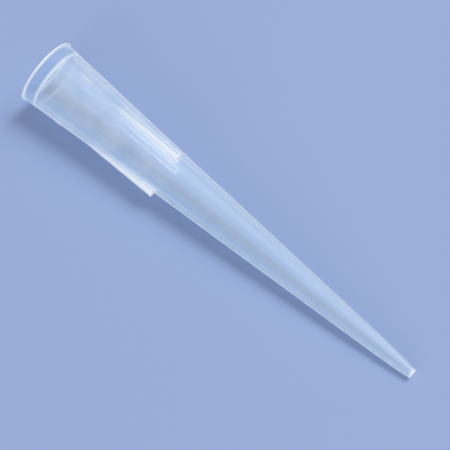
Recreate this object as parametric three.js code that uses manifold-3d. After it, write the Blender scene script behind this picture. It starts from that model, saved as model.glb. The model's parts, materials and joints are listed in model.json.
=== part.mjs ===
// A universal pipette tip of the 200 microlitre size, moulded in one piece from natural polypropylene.
// Millimetres, +Z up. It is drawn as a revolved shell with its mouth at y = 0 and its point at y = length,
// and then laid down as it comes to rest on a bench, on its lip and its nose, with the mouth towards +X
// and the point towards -X.

import * as THREE from 'three';
import { mergeVertices } from 'three/addons/utils/BufferGeometryUtils.js';
import Module from 'manifold-3d';

// Outside: the head down to the waist, the shank, the nose and a bevel at the point. Stations are measured
// along the axis from the mouth.
const length = 51;
const mouthDiameter = 7.58;
const waistDiameter = 5.36;
const waistStation = 17.3;
const noseDiameter = 1.96;
const noseLength = 5;
const bevelDiameter = 1.44;
const bevelLength = 1.5;
const pointDiameter = 1.06;
const pointEdge = 0.08;

// The rolled lip round the mouth
const lipHeight = 0.11;
const lipLength = 0.28;

// Inside: a thin collar with a shoulder at its foot, then the tapered socket that grips the pipette's
// nozzle, then the fine bore
const collarWall = 0.3;
const collarDepth = 1.4;
const socketWall = 0.52;
const waistWall = 0.48;
const noseWall = 0.36;
const pointBore = 0.52;

// Ribs: three fins that stay level while the cone narrows under them, each in two stages. The low first
// stage ends close under the collar. The tall second stage ends in the square seat that stands on a rack.
const ribCount = 3;
const ribWidth = 0.76;
const lowRib = { end: 5.2, height: 0.09, corner: 0.08, edge: 0.04 };
const tallRib = { end: 17.8, height: 0.6, corner: 0.2, edge: 0.12 };

// An odd number of facets for each rib puts the middle of a facet opposite every rib
const facetsRound = 33 * ribCount;
const arcSteps = 3;
const rootOverlap = 0.5;

const outside = [
  [0, mouthDiameter / 2],
  [waistStation, waistDiameter / 2],
  [length - noseLength, noseDiameter / 2],
  [length - bevelLength, bevelDiameter / 2],
  [length - pointEdge, pointDiameter / 2],
];

// Radius of the bare cone at a station, straight between the stations listed in outside
function coneRadius(station) {
  const next = outside.findIndex(([end], i) => i > 0 && (station <= end || i === outside.length - 1));
  const [fromStation, fromRadius] = outside[next - 1];
  const [toStation, toRadius] = outside[next];
  const share = (station - fromStation) / (toStation - fromStation);
  return fromRadius + share * (toRadius - fromRadius);
}

// The station where the cone has narrowed to a radius, or the lip's foot if it never is that wide
function stationOf(radius) {
  const next = outside.findIndex(([, r]) => r < radius);
  if (next < 1) {
    return lipLength;
  }
  const [fromStation, fromRadius] = outside[next - 1];
  const [toStation, toRadius] = outside[next];
  const share = (fromRadius - radius) / (fromRadius - toRadius);
  return Math.max(lipLength, fromStation + share * (toStation - fromStation));
}

const lipRadius = mouthDiameter / 2 + lipHeight;
const lipEdge = Math.min(lipHeight, lipLength / 2);
const lipHeel = { station: lipLength - lipEdge, radius: lipRadius - lipEdge };

// Half section of the shell: up the outside from the mouth to the point, and back down the bore
function shellSection() {
  const noseStation = length - noseLength;
  const shoulderFoot = collarDepth + socketWall - collarWall;
  const pointRadius = pointDiameter / 2;
  const section = new THREE.Path();
  section.moveTo(mouthDiameter / 2 - collarWall, 0);
  section.lineTo(lipHeel.radius, 0);
  section.absarc(lipHeel.radius, lipEdge, lipEdge, -Math.PI / 2, 0);
  section.absarc(lipHeel.radius, lipHeel.station, lipEdge, 0, Math.PI / 2);
  section.lineTo(coneRadius(lipLength), lipLength);
  section.lineTo(waistDiameter / 2, waistStation);
  section.lineTo(noseDiameter / 2, noseStation);
  section.lineTo(bevelDiameter / 2, length - bevelLength);
  section.absarc(pointRadius - pointEdge, length - pointEdge, pointEdge, 0, Math.PI / 2);
  section.lineTo(pointBore / 2, length);
  section.lineTo(noseDiameter / 2 - noseWall, noseStation);
  section.lineTo(waistDiameter / 2 - waistWall, waistStation);
  section.lineTo(coneRadius(shoulderFoot) - socketWall, shoulderFoot);
  section.lineTo(coneRadius(collarDepth) - collarWall, collarDepth);
  section.closePath();
  return section.getPoints(arcSteps);
}

const wasm = await Module();
wasm.setup();

// A closed geometry as a solid. Only its positions are kept, so that shared vertices merge.
function solidOf(geometry) {
  const bare = geometry.clone();
  bare.deleteAttribute('normal');
  bare.deleteAttribute('uv');
  const merged = mergeVertices(bare);
  const vertProperties = merged.getAttribute('position').array;
  const triVerts = Uint32Array.from(merged.getIndex().array);
  return new wasm.Manifold(new wasm.Mesh({ numProp: 3, vertProperties, triVerts }));
}

function geometryOf(solid) {
  const { vertProperties, triVerts } = solid.getMesh();
  const geometry = new THREE.BufferGeometry();
  geometry.setAttribute('position', new THREE.BufferAttribute(vertProperties, 3));
  geometry.setIndex(new THREE.BufferAttribute(triVerts, 1));
  geometry.computeVertexNormals();
  return geometry;
}

function revolved(points) {
  return solidOf(new THREE.LatheGeometry(points, facetsRound));
}

function levelRadius(rib) {
  return coneRadius(rib.end) + rib.height;
}

// The ring that holds one stage of ribs: level on the outside, rooted in the middle of the wall
function ribRing(rib) {
  const radius = levelRadius(rib);
  const start = Math.max(lipLength, stationOf(radius) - rootOverlap);
  const rootDepth = collarWall / 2;
  const section = new THREE.Path();
  section.moveTo(coneRadius(rib.end) - rootDepth, rib.end);
  section.lineTo(Math.min(coneRadius(start), radius) - rootDepth, start);
  section.lineTo(radius, start);
  section.absarc(radius - rib.edge, rib.end - rib.edge, rib.edge, 0, Math.PI / 2);
  section.closePath();
  return revolved(section.getPoints(arcSteps));
}

// One rib's outline seen from outside, with its far corners rounded, run outwards from the axis
function ribBlade(rib, turn) {
  const half = ribWidth / 2;
  const plan = new THREE.Shape();
  plan.moveTo(-half, 0);
  plan.lineTo(half, 0);
  plan.absarc(half - rib.corner, rib.end - rib.corner, rib.corner, 0, Math.PI / 2);
  plan.absarc(rib.corner - half, rib.end - rib.corner, rib.corner, Math.PI / 2, Math.PI);
  plan.closePath();
  const settings = { depth: 2 * levelRadius(rib), bevelEnabled: false, curveSegments: 2 * arcSteps };
  return solidOf(new THREE.ExtrudeGeometry(plan, settings).rotateY(turn));
}

function ribStage(rib) {
  const turns = Array.from({ length: ribCount }, (_, i) => (i * 2 * Math.PI) / ribCount);
  const blades = turns.map((turn) => ribBlade(rib, turn));
  return ribRing(rib).intersect(blades.reduce((joined, blade) => joined.add(blade)));
}

// The angle of the axis to the bench once the tip has leaned over its lip onto a corner of the outline
function leanOnto([station, radius]) {
  const run = station - lipHeel.station;
  const rise = lipHeel.radius - radius;
  return Math.atan2(rise, run) + Math.asin(lipEdge / Math.hypot(run, rise));
}

const lean = Math.min(...outside.slice(1).map(leanOnto));

// The upper rib leans five facets from straight up. That lays a facet flat on the bench and brings the
// corner of the lowest rib to just clear of it, so that the tip can't roll further that way.
const restingTurn = (-5 * 2 * Math.PI) / facetsRound;

const tip = new THREE.Mesh(
  geometryOf(revolved(shellSection()).add(ribStage(lowRib)).add(ribStage(tallRib))),
  new THREE.MeshStandardMaterial({ color: 0xdde6ea, roughness: 0.35, metalness: 0 }),
);
tip.name = 'pipette_tip';
tip.rotation.y = restingTurn;

// Turned from standing on the mouth to lying along -X
const laid = new THREE.Group();
laid.rotation.z = Math.PI / 2;
laid.add(tip);

const leaned = new THREE.Group();
leaned.rotation.y = -lean;
leaned.add(laid);

// On the bench at z = 0, with the middle of its length over the origin
const part = new THREE.Group();
part.add(leaned);
const extent = new THREE.Box3().setFromObject(part, true);
leaned.position.set(-(extent.min.x + extent.max.x) / 2, 0, -extent.min.z);

export default part;
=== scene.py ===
import json
from math import atan2, pi, radians

import bpy
import numpy as np
from mathutils import Matrix, Vector


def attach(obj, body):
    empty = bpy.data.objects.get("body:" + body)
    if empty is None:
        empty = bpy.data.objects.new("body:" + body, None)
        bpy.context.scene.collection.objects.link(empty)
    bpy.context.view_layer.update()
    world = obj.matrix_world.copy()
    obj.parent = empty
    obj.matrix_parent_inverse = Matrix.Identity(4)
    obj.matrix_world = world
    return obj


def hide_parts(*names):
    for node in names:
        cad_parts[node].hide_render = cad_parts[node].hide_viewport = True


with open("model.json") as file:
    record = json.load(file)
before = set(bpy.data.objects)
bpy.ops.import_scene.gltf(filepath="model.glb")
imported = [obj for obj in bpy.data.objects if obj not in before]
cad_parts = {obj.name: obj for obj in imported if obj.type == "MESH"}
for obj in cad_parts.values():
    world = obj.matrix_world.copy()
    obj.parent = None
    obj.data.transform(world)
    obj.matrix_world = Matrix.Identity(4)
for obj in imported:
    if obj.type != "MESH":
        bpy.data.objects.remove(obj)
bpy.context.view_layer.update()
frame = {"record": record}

# The pipette tip.
# One injection moulding in natural polypropylene, unpigmented and milky: a shell that is open at both ends,
# with three ribs moulded on its head. It lies loose on the bench, on its lip and its nose.

# Lengths are in millimetres. A station is a distance along the axis from the mouth.
MM = 0.001
TIP_LENGTH = 51.0
MOUTH_RADIUS = 3.79
WAIST, NOSE, BEVEL = 17.3, 46.0, 49.5
HEAD_DRAFT, SHANK_DRAFT, NOSE_DRAFT, BEVEL_DRAFT = -0.06416, -0.05923, -0.07429, -0.1338
CONE_BEND, BEVEL_BEND = 0.6, 0.35


def bend(station, kink, reach):
    """A ramp that is 0 before the kink and 1:1 after it, with a parabola over reach on either side."""
    past = np.clip(station - kink, -reach, None)
    return np.where(past < reach, (past + reach) ** 2 / (4 * reach), past)


def cone(station):
    """Outer radius: four straight drafts, each joined to the next by a short bend."""
    return (
        MOUTH_RADIUS
        + HEAD_DRAFT * station
        + (SHANK_DRAFT - HEAD_DRAFT) * bend(station, WAIST, CONE_BEND)
        + (NOSE_DRAFT - SHANK_DRAFT) * bend(station, NOSE, CONE_BEND)
        + (BEVEL_DRAFT - NOSE_DRAFT) * bend(station, BEVEL, BEVEL_BEND)
    )


COLLAR_WALL, COLLAR_DEPTH = 0.3, 1.4
SHOULDER_DROP, SHOULDER_RUN, SHOULDER_BEND = 0.22, 0.22, 0.05
SOCKET_TURN, BORE_TURN, NOSE_TURN = 0.00256, 0.00655, -0.01695
BORE_BEND = 0.5


def bore(station):
    """Inner radius: the collar runs parallel to the outside and the shoulder drops steeply at its foot. The
    nozzle's socket, the bore and the nose then each turn a little from the draft before."""
    shoulder = SHOULDER_DROP / SHOULDER_RUN
    return (
        MOUTH_RADIUS
        - COLLAR_WALL
        + HEAD_DRAFT * station
        - shoulder * bend(station, COLLAR_DEPTH, SHOULDER_BEND)
        + (shoulder + SOCKET_TURN) * bend(station, COLLAR_DEPTH + SHOULDER_RUN, SHOULDER_BEND)
        + BORE_TURN * bend(station, WAIST, BORE_BEND)
        + NOSE_TURN * bend(station, NOSE, BORE_BEND)
    )


def arc(station, radius, round_by, start, stop, steps):
    """Part of a circle in the half section. An angle is 0 towards the point and 90 degrees outwards."""
    angle = np.radians(np.linspace(start, stop, steps))
    return np.stack([station + round_by * np.cos(angle), radius + round_by * np.sin(angle)], 1)


def fine(*stops):
    """Stations from stop to stop, each pair with the number of steps between them."""
    runs = [np.linspace(a, b, n, endpoint=False) for a, n, b in zip(stops[:-2:2], stops[1::2], stops[2::2])]
    return np.concatenate([*runs, [stops[-1]]])


# The half section is closed: round the lip, down the outside, round the point's edge and back up the bore.
# Its rows lie closest where a rib ends, with one SQUARE step over the end face.
LIP_RADIUS, LIP_LENGTH, LIP_EDGE, LIP_ROWS = 3.9, 0.28, 0.11, 8
POINT_RADIUS, POINT_EDGE, BORE_EDGE, POINT_BORE = 0.53, 0.08, 0.04, 0.26
MOUTH_EDGE = 0.05
LOW_END, TALL_END = 5.2, 17.8
SQUARE, ROOT_REACH = 0.004, 0.12
outer = np.concatenate(
    [
        fine(0.3, 12, 3.6, 14, 4.95, 22, LOW_END),
        fine(LOW_END + SQUARE, 8, LOW_END + ROOT_REACH, 32, WAIST, 10, 17.55, 26, TALL_END),
        fine(
            TALL_END + SQUARE, 10, TALL_END + ROOT_REACH, 60, NOSE - 1, 16, BEVEL - 0.4, 16, TIP_LENGTH - 0.1
        ),
    ]
)
inner = fine(TIP_LENGTH - 0.05, 10, NOSE + 1, 12, NOSE - 1, 26, 18.0, 8, 17.4, 14, 2.0, 16, 1.2, 6, 0.06)
section = np.concatenate(
    [
        arc(LIP_EDGE, LIP_RADIUS - LIP_EDGE, LIP_EDGE, 180, 90, LIP_ROWS),
        arc(LIP_LENGTH - LIP_EDGE, LIP_RADIUS - LIP_EDGE, LIP_EDGE, 90, 8, LIP_ROWS),
        np.stack([outer, cone(outer)], 1),
        arc(TIP_LENGTH - POINT_EDGE, POINT_RADIUS - POINT_EDGE, POINT_EDGE, 75, 0, 7),
        arc(TIP_LENGTH - BORE_EDGE, POINT_BORE + BORE_EDGE, BORE_EDGE, 0, -80, 6),
        np.stack([inner, bore(inner)], 1),
        arc(MOUTH_EDGE, float(bore(0.0)) + MOUTH_EDGE, MOUTH_EDGE, 280, 180, 6),
    ]
)
station = section[:, :1]
row = np.arange(len(section))[:, None] - 2 * LIP_ROWS
outside = (row >= 0) & (row < len(outer))

# Each rib has a low stage and a tall one, which stay level while the cone narrows under them. A stage is its
# end, its height there, the radius of its corners in plan and that of its end edge.
RIB_COUNT = 3
RIB_HALF_WIDTH = 0.38
LOW_STAGE, TALL_STAGE = (LOW_END, 0.09, 0.08, 0.04), (TALL_END, 0.6, 0.2, 0.12)
TOP_ROUND, ROOT_ROUND, ROUND_SHARE = 0.07, 0.07, 0.45


def rounded_off(station, end, radius):
    """How far a corner of that radius falls back from its level as the station nears the end."""
    return radius - np.sqrt(radius**2 - np.clip(station - end + radius, 0, radius) ** 2)


def with_rib(station, angle, foot, end, height, corner, edge):
    """Radius of the outside along rays at an angle from a rib's middle: its level top, a rounded edge, its
    flank at a fixed offset from the middle plane, and a hollow round at its root."""
    level = float(cone(end)) + height - rounded_off(station, end, edge)
    half = RIB_HALF_WIDTH - rounded_off(station, end, corner)
    rise = np.clip(level - foot, 0, None)
    top_round = np.minimum(TOP_ROUND, ROUND_SHARE * rise)
    root_round = np.minimum(ROOT_ROUND, ROUND_SHARE * rise)
    across = half - top_round
    upward = np.sqrt((level - top_round) ** 2 - across**2)
    along_ray = across * np.sin(angle) + upward * np.cos(angle)
    off_ray = across * np.cos(angle) - upward * np.sin(angle)
    edge_radius = along_ray + np.sqrt(np.clip(top_round**2 - off_ray**2, 0, None))
    flank_radius = half / np.maximum(np.sin(angle), 1e-6)
    radius = np.where(angle < np.arctan2(across, upward), level, edge_radius)
    radius = np.where(angle < np.arctan2(half, upward), radius, flank_radius)
    radius = np.where(station <= end, np.minimum(radius, level), foot)
    past_end = np.clip(station - end + corner, 0, None)
    past_flank = np.clip(foot * np.sin(angle) - RIB_HALF_WIDTH + corner, 0, None)
    away = np.clip(np.hypot(past_end, past_flank) - corner, 0, root_round)
    hollow = foot + root_round - np.sqrt(np.clip(root_round**2 - (root_round - away) ** 2, 0, None))
    return np.maximum(np.maximum(radius, hollow), foot)


# Lines round the shell, from a rib's middle to halfway to the next: first at fixed offsets from the middle,
# which lie close together at the rib's flank, and then at even angles
OFFSETS = np.concatenate(
    [[0, 0.06, 0.11, 0.15], np.arange(0.18, 0.5, 0.0145), [0.52, 0.56, 0.62, 0.7, 0.8, 0.92]]
)
EVEN_LINES = 13
ribbed_cone = cone(np.clip(station, 0, TALL_END))
close = np.arcsin(OFFSETS / ribbed_cone)
share = np.linspace(0, 1, EVEN_LINES + 1)[1:]
half_fan = np.concatenate([close, close[:, -1:] + share * (pi / RIB_COUNT - close[:, -1:])], 1)
fan = np.concatenate([-half_fan[:, -2:0:-1], half_fan], 1)
turn = np.concatenate([fan + k * 2 * pi / RIB_COUNT for k in range(RIB_COUNT)], 1)
from_rib = np.tile(np.abs(fan), (1, RIB_COUNT))
radius = foot = np.broadcast_to(section[:, 1:], turn.shape)
for stage in (LOW_STAGE, TALL_STAGE):
    radius = np.where(outside, np.maximum(radius, with_rib(station, from_rib, foot, *stage)), radius)

# The axis runs from the middle of the mouth to the point, and the first rib is the one with the rack seat
mounts = {mount["name"]: mount for mount in frame["record"]["mounts"]}
mouth = Vector(mounts["mouth_face"]["pos_m"])
mouth.y = 0
axis = -Vector(mounts["mouth_face"]["axis"]).normalized()
first_rib = Vector(mounts["rack_seat"]["pos_m"]) - mouth
first_rib = (first_rib - first_rib.dot(axis) * axis).normalized()
beside_rib = axis.cross(first_rib)

# A point is the mouth's middle, its station along the axis and its radius at its turn from the first rib
points = (
    np.array(mouth)
    + station[..., None] * MM * np.array(axis)
    + (radius * np.cos(turn))[..., None] * MM * np.array(first_rib)
    + (radius * np.sin(turn))[..., None] * MM * np.array(beside_rib)
)


def closed_grid(name, points):
    """A mesh over a grid of points that closes on itself both ways."""
    rows, columns = points.shape[:2]
    index = np.arange(rows * columns).reshape(rows, columns)
    beyond = np.roll(index, -1, 0)
    quads = np.stack([index, np.roll(index, -1, 1), np.roll(beyond, -1, 1), beyond], -1).reshape(-1, 4)
    mesh = bpy.data.meshes.new(name)
    mesh.from_pydata(points.reshape(-1, 3), [], quads)
    mesh.shade_smooth()
    return mesh


tip = bpy.data.objects.new("tip_shell", closed_grid("tip_shell", points))
bpy.context.scene.collection.objects.link(tip)
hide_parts("pipette_tip")
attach(tip, "root")

# Milkiness is the share of the light that the surface scatters. The collar is clear and the wall is hazy.
# The lip, the shoulder, the point and the ribs' edges and roots are painted nearly white: painted
# highlights that stand in for light which runs along inside the plastic and comes out there.
HAZE_STATIONS = (0, 1.4, 1.7, 17, 24, TIP_LENGTH)
WALL_HAZE = (0.07, 0.07, 0.23, 0.23, 0.225, 0.225)
BORE_SHARE = 0.1
HIGHLIGHT_WHITE, SHOULDER_HIGHLIGHT = 0.95, 0.9
SHOULDER_START, SHOULDER_STOP = 1.38, 1.66
EDGE_HIGHLIGHT_BAND, ROOT_HIGHLIGHT_BAND, ROOT_BACK = 0.13, 0.11, 0.1
FULL_RISE, LEAST_SLOPE = 0.3, 0.2
LIP_HIGHLIGHT_BAND, POINT_HIGHLIGHT_BAND = 0.25, 0.2
haze_and_shoulder_highlight = np.where(outside, 1, BORE_SHARE) * np.interp(station, HAZE_STATIONS, WALL_HAZE)
# The inside of the shoulder is painted nearly white: a painted highlight
haze_and_shoulder_highlight = np.where((station > SHOULDER_START) & (station < SHOULDER_STOP) & ~outside, SHOULDER_HIGHLIGHT, haze_and_shoulder_highlight)

# The painted highlight grows with a rib's height over the cone: outside in a band along its edges and end,
# and in the bore in a line opposite its roots
end, height = TALL_STAGE[:2]
raised = np.clip((radius - ribbed_cone) / FULL_RISE, 0, 1) * (station <= end) * outside
edge_highlight = raised * ((radius * np.sin(from_rib) > RIB_HALF_WIDTH - EDGE_HIGHLIGHT_BAND) | (station > end - EDGE_HIGHLIGHT_BAND))
rise = np.clip((cone(end) + height - ribbed_cone) / FULL_RISE, 0, 1) * (station < end) * ~outside
past_flank = ribbed_cone * np.sin(from_rib) - RIB_HALF_WIDTH
from_end = np.where(past_flank < 0, np.abs(station - end + ROOT_BACK), np.inf)
root_highlight = rise * (np.minimum(np.abs(past_flank), from_end) < ROOT_HIGHLIGHT_BAND)

# Steep little faces get the painted highlight too. A slope is the change of radius between the neighbours
# on either side.
span = np.roll(turn, -1, 1) - np.roll(turn, 1, 1)
span = (span + pi) % (2 * pi) - pi
slope_across = (np.roll(radius, -1, 1) - np.roll(radius, 1, 1)) / (span * radius)
fall = np.roll(radius, -1, 0) - np.roll(radius, 1, 0)
run = np.roll(station, -1, 0) - np.roll(station, 1, 0)
slope_along = np.where(outside, fall / np.hypot(run, fall), 0)
steep_highlight = np.clip(np.hypot(slope_across, slope_along) - LEAST_SLOPE, 0, 1)

# The hazy wall, with painted highlights on the ribs and their roots, on steep faces, and at the lip and the
# point
milk_and_highlights = haze_and_shoulder_highlight + (HIGHLIGHT_WHITE - haze_and_shoulder_highlight) * np.maximum(np.maximum(edge_highlight, root_highlight), steep_highlight)
end_highlight = (station < LIP_HIGHLIGHT_BAND) | (station > TIP_LENGTH - POINT_HIGHLIGHT_BAND)
milk_and_highlights = np.where(end_highlight, np.maximum(milk_and_highlights, HIGHLIGHT_WHITE), milk_and_highlights)

# Roughness: the lip and the collar are satin, the head nearly polished and the shank a little duller. The
# head has the fine grain of its mould, and hardly any is left on the shank.
SATIN, HEAD_ROUGH, SHANK_ROUGH, BORE_ROUGH = 0.3, 0.06, 0.22, 0.03
ROUGH_STATIONS = (1.75, 1.9, 18, 26)
GRAIN_STATIONS, GRAIN = (1.9, 2.5, 17.5, 19, TIP_LENGTH), (0, 1, 1, 0.2, 0.1)
rough = np.interp(station, ROUGH_STATIONS, (SATIN, HEAD_ROUGH, HEAD_ROUGH, SHANK_ROUGH))
rough = np.where(outside, rough, BORE_ROUGH)
grain = np.interp(station, GRAIN_STATIONS, GRAIN) * outside

# The share of a lamp's light that goes straight through. The side that faces away from the lamps is set to
# stop most of it, which deepens the shadow on the bench and the shade in the tip's lower half.
AWAY = Vector((0, 0.51, -0.86))
TURNED_AWAY = (0.5, 0.75)
STRAIGHT_THROUGH, DEEP_SHADOW_THROUGH, MILK_STOPS = 0.95, 0.12, 0.2
facing_away = np.cos(turn) * first_rib.dot(AWAY) + np.sin(turn) * beside_rib.dot(AWAY)
through = np.interp(facing_away, TURNED_AWAY, (STRAIGHT_THROUGH, DEEP_SHADOW_THROUGH))
through = np.where(outside, through, STRAIGHT_THROUGH) * (1 - MILK_STOPS * milk_and_highlights)

for name, values in (("milk_and_highlights", milk_and_highlights), ("rough", rough), ("grain", grain), ("through", through)):
    each = np.broadcast_to(values, turn.shape).ravel().astype(np.float32)
    tip.data.attributes.new(name, "FLOAT", "POINT").data.foreach_set("value", each)

plastic = bpy.data.materials.new("natural_polypropylene")
plastic.use_nodes = True
resin = plastic.node_tree
tip.data.materials.append(plastic)


def add(tree, kind, inputs, **settings):
    """A new node. Each of its inputs is set to a number or a colour, or linked to another node's output."""
    added = tree.nodes.new("ShaderNode" + kind)
    for key, value in settings.items():
        setattr(added, key, value)
    for key, value in inputs.items():
        if isinstance(value, bpy.types.NodeSocket):
            tree.links.new(value, added.inputs[key])
        else:
            added.inputs[key].default_value = value
    return added


def combine(tree, operation, *terms):
    """The result of a Math node on two or three terms."""
    return add(tree, "Math", dict(enumerate(terms)), operation=operation).outputs[0]


def rescale(tree, value, low, high, to_low, to_high):
    """The value, moved from the range low to high into the range to_low to to_high and kept inside it."""
    ends = {"Value": value, "From Min": low, "From Max": high, "To Min": to_low, "To Max": to_high}
    return add(tree, "MapRange", ends).outputs["Result"]


def noise(tree, place, per_unit, detail):
    """Smooth noise round 0.5, with a number of spots to each unit of the place."""
    return add(tree, "TexNoise", {"Vector": place, "Scale": per_unit, "Detail": detail}).outputs["Fac"]


def read(attribute):
    """One of the tip's own values."""
    return add(resin, "Attribute", {}, attribute_name=attribute).outputs["Fac"]


# Clouds two millimetres across, mostly in the head, and streaks that lie along the tip as the plastic flowed
CLOUDS_PER_METRE, GRAINS_PER_METRE = 450, 6000
STREAK = (20 * MM, 0.8 * MM, 0.8 * MM)
NOISE_RANGE = (0.35, 0.65)
CLOUD_CHANGE, STREAK_CHANGE, CLOUD_ROUGHNESS = (-0.04, 0.35), (0.97, 1.1), (0, 0.04)
MOST_MILK = 0.97
LENGTHWISE = (0, atan2(axis.z, -axis.x), 0)
place = add(resin, "TexCoord", {}).outputs["Object"]
streak_place = {"Vector": place, "Rotation": LENGTHWISE, "Scale": STREAK}
along_tip = add(resin, "Mapping", streak_place, vector_type="TEXTURE").outputs["Vector"]
clouds = noise(resin, place, CLOUDS_PER_METRE, 3)
streaks = noise(resin, along_tip, 1, 2)
cloudy = combine(resin, "MULTIPLY_ADD", rescale(resin, clouds, *NOISE_RANGE, *CLOUD_CHANGE), read("grain"), 1)
uneven = combine(resin, "MULTIPLY", cloudy, rescale(resin, streaks, *NOISE_RANGE, *STREAK_CHANGE))
# The milk, painted highlights included, varies with the clouds and the streaks
own_milk_and_highlights = combine(resin, "MINIMUM", combine(resin, "MULTIPLY", read("milk_and_highlights"), uneven), MOST_MILK)

# Where a wall is seen edge-on, light has a long way to go in it, so less of it comes through
EDGE_ON, RIM_MILK = (0.55, 0.78), 0.8
facing = add(resin, "LayerWeight", {"Blend": 0.5}).outputs["Facing"]
rim = rescale(resin, facing, *EDGE_ON, 0, RIM_MILK)
milky_with_highlights = combine(resin, "MULTIPLY_ADD", rim, combine(resin, "SUBTRACT", 1, own_milk_and_highlights), own_milk_and_highlights)

# The tint is painted bluish where the haze is thin, standing in for the blue bench seen through the clear
# plastic, and is white where the haze is dense and at the painted highlights
THIN_HAZE_PAINTED_BLUE, DENSE_HAZE, DENSE_FROM = (0.74, 0.88, 1.0, 1), (0.98, 0.99, 1.0, 1), 0.6
ramp = add(resin, "ValToRGB", {"Fac": own_milk_and_highlights})
ramp.color_ramp.elements[0].color = THIN_HAZE_PAINTED_BLUE
ramp.color_ramp.elements[1].color = DENSE_HAZE
ramp.color_ramp.elements[1].position = DENSE_FROM
tint_with_painted_light = ramp.outputs["Color"]

# The grain is a hundredth of a millimetre high at most, and the streaks are up to three times that
GRAIN_HEIGHT, GRAINS_HIGH = 0.01 * MM, 3
grains = combine(resin, "MULTIPLY", noise(resin, place, GRAINS_PER_METRE, 1), read("grain"))
bumps = combine(resin, "MULTIPLY_ADD", streaks, GRAINS_HIGH, grains)
relief = add(resin, "Bump", {"Height": bumps, "Distance": GRAIN_HEIGHT, "Strength": 1}).outputs["Normal"]

shader = resin.nodes["Principled BSDF"]
shader.inputs["IOR"].default_value = 1.49
resin.links.new(tint_with_painted_light, shader.inputs["Base Color"])
resin.links.new(combine(resin, "SUBTRACT", 1, milky_with_highlights), shader.inputs["Transmission Weight"])
resin.links.new(
    combine(resin, "ADD", read("rough"), rescale(resin, clouds, *NOISE_RANGE, *CLOUD_ROUGHNESS)),
    shader.inputs["Roughness"],
)
resin.links.new(relief, shader.inputs["Normal"])

# Part of the haze is lit from behind. Rays from lamps pass through, so the thin walls don't shut light out.
LIT_FROM_BEHIND = 0.4
PASSING_COLOUR = (0.97, 0.98, 1.0, 1)
glow = add(resin, "BsdfTranslucent", {"Color": tint_with_painted_light}).outputs["BSDF"]
behind = combine(resin, "MULTIPLY", milky_with_highlights, LIT_FROM_BEHIND)
hazy = add(resin, "MixShader", {0: behind, 1: shader.outputs["BSDF"], 2: glow}).outputs["Shader"]
lamp_ray = add(resin, "LightPath", {}).outputs["Is Shadow Ray"]
passing = add(resin, "BsdfTransparent", {"Color": PASSING_COLOUR}).outputs["BSDF"]
passed = combine(resin, "MULTIPLY", lamp_ray, read("through"))
surface = add(resin, "MixShader", {0: passed, 1: hazy, 2: passing}).outputs["Shader"]
resin.links.new(surface, resin.nodes["Material Output"].inputs["Surface"])

# The bench.
# A flat laboratory bench top of fibreboard, painted a plain pale blue with an eggshell finish. The tip lies
# loose on it. The paint is a hair below the lip and the nose, so that no two faces share a plane.

BENCH_HALF, BENCH_DROP = 2.0, 5e-6
BENCH_COLOURS = (0.29, 0.38, 0.63, 1), (0.31, 0.4, 0.65, 1)
MOTTLES_PER_METRE, MOTTLE_RANGE, EGGSHELL = 30, (0.3, 0.7), (0.66, 0.74)
square = np.array([(-1, -1, 0), (1, -1, 0), (1, 1, 0), (-1, 1, 0)]) * BENCH_HALF - (0, 0, BENCH_DROP)
bench_mesh = bpy.data.meshes.new("bench")
bench_mesh.from_pydata(square, [], [(0, 1, 2, 3)])
bench = bpy.data.objects.new("bench", bench_mesh)
bpy.context.scene.collection.objects.link(bench)

paint = bpy.data.materials.new("pale_blue_paint")
paint.use_nodes = True
coat = paint.node_tree
mottle = noise(coat, add(coat, "TexCoord", {}).outputs["Object"], MOTTLES_PER_METRE, 2)
shade = add(coat, "ValToRGB", {"Fac": mottle})
for element, colour in zip(shade.color_ramp.elements, BENCH_COLOURS):
    element.color = colour
painted = coat.nodes["Principled BSDF"]
coat.links.new(shade.outputs["Color"], painted.inputs["Base Color"])
coat.links.new(rescale(coat, mottle, *MOTTLE_RANGE, *EGGSHELL), painted.inputs["Roughness"])
bench_mesh.materials.append(paint)

# The light.
# A pale room and three soft square lamps: the key and a broad panel stand over the far side of the tip, and
# a low lamp on the near side fills the flanks of the ribs.

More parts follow.
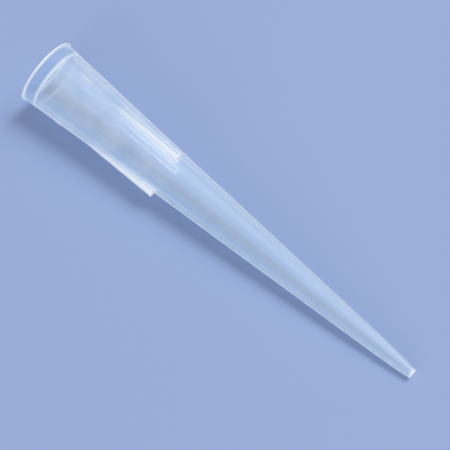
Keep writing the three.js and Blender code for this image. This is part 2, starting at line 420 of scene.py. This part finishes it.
# The room is seen, mirrored and seen through plastic at nearly full strength, but lights the tip softly
ROOM_COLOUR = (0.93, 0.96, 1, 1)
ROOM_LIGHT, ROOM_SEEN = 0.22, 0.95
room = bpy.data.worlds.new("room")
bpy.context.scene.world = room
room.use_nodes = True
air = room.node_tree
background = air.nodes["Background"]
rays = add(air, "LightPath", {}).outputs
mirrored = combine(air, "MAXIMUM", rays["Is Glossy Ray"], rays["Is Transmission Ray"])
seen = combine(air, "MAXIMUM", rays["Is Camera Ray"], mirrored)
seen_first = combine(air, "MULTIPLY", seen, combine(air, "LESS_THAN", rays["Diffuse Depth"], 0.5))
strength = combine(air, "MULTIPLY_ADD", seen_first, ROOM_SEEN - ROOM_LIGHT, ROOM_LIGHT)
background.inputs["Color"].default_value = ROOM_COLOUR
air.links.new(strength, background.inputs["Strength"])


def soft_light(name, place, size, watts, shines):
    """A square lamp that faces the tip. Gloss mirrors it if it shines, and it isn't seen through plastic."""
    lamp = bpy.data.lights.new(name, "AREA")
    lamp.size = size
    lamp.energy = watts
    lit = bpy.data.objects.new(name, lamp)
    lit.location = place
    lit.rotation_euler = (-Vector(place)).to_track_quat("-Z", "Y").to_euler()
    lit.visible_transmission = False
    lit.visible_glossy = shines
    bpy.context.scene.collection.objects.link(lit)


soft_light("key", (-0.1, -0.34, 0.56), 0.3, 2.2, False)
soft_light("panel", (-0.03, -0.34, 0.56), 0.5, 1.1, True)
soft_light("low", (-0.1, 0.62, 0.3), 0.3, 2.8, False)

# The camera.
# A long lens on a stand at the near side. It looks down on the tip, and is rolled so that the mouth comes to
# the upper left.

CAMERA_PLACE = Vector((-0.04525, 0.08323, 0.19160))
CAMERA_AIM = Vector((-0.00035, 0.00041, 0.002))
CAMERA_ROLL = radians(12.19)
camera = bpy.data.cameras.new("camera")
camera.lens = 160
camera.clip_start = 0.01
eye = bpy.data.objects.new("camera", camera)
upright = (CAMERA_AIM - CAMERA_PLACE).to_track_quat("-Z", "Y").to_matrix().to_4x4()
eye.matrix_world = Matrix.Translation(CAMERA_PLACE) @ upright @ Matrix.Rotation(CAMERA_ROLL, 4, "Z")
bpy.context.scene.collection.objects.link(eye)
bpy.context.scene.camera = eye
bpy.context.scene.view_settings.view_transform = "Standard"
